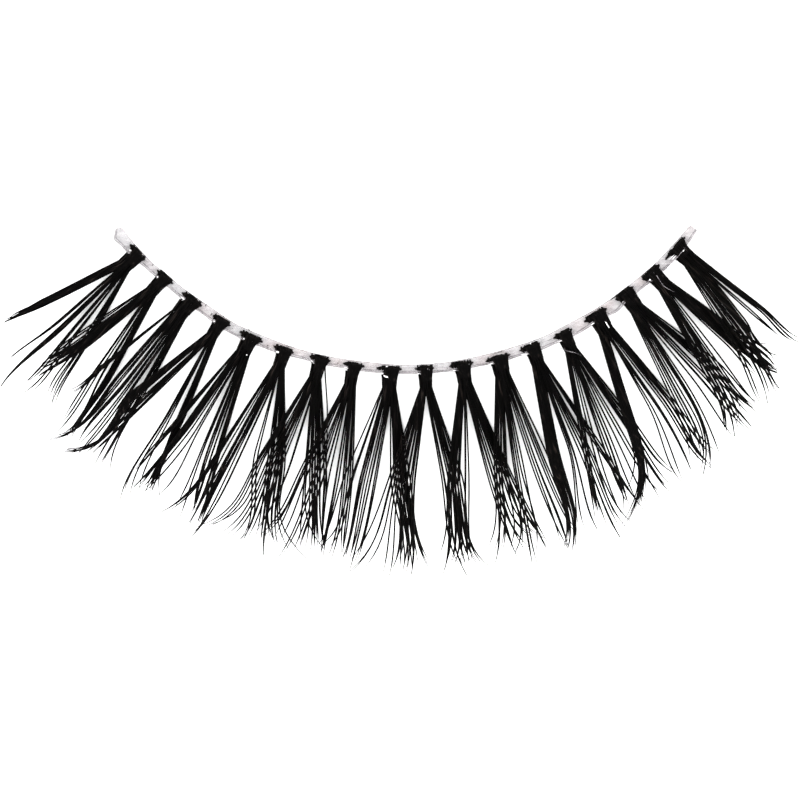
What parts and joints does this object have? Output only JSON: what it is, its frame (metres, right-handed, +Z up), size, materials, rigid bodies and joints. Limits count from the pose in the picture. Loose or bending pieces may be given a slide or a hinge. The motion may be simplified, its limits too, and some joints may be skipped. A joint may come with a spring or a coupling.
{
  "type": "false eyelash strip",
  "caption": "Strip of false eyelashes: a thin clear curved band with knotted clusters of fine black fibres that fan out, cross and curl up at their tips.",
  "frame": {"origin": "middle of the band's centre line, on the band's underside, which is the plane that the strip lies on", "axes": "+X along the band to the right, -Y the way the fibres point, +Z up out of the plane, the way the tips curl"},
  "size_m": [0.0397, 0.0176, 0.0049],
  "materials": {
    "clear_band": "translucent glue film, slightly pink",
    "clear_filament": "clear nylon thread",
    "black_fibre": "satin black synthetic lash fibre"
  },
  "bodies": {
    "root": {"band_ribbon": "clear_band", "upper_filament": "clear_filament", "lower_filament_1": "clear_filament", "lower_filament_2": "clear_filament", "lash_cluster_01": "black_fibre", "lash_cluster_02": "black_fibre", "lash_cluster_03": "black_fibre", "lash_cluster_04": "black_fibre", "lash_cluster_05": "black_fibre", "lash_cluster_06": "black_fibre", "lash_cluster_07": "black_fibre", "lash_cluster_08": "black_fibre", "lash_cluster_09": "black_fibre", "lash_cluster_10": "black_fibre", "lash_cluster_11": "black_fibre", "lash_cluster_12": "black_fibre", "lash_cluster_13": "black_fibre", "lash_cluster_14": "black_fibre", "lash_cluster_15": "black_fibre", "lash_cluster_16": "black_fibre", "lash_cluster_17": "black_fibre", "lash_cluster_18": "black_fibre"}
  },
  "joints": []
}
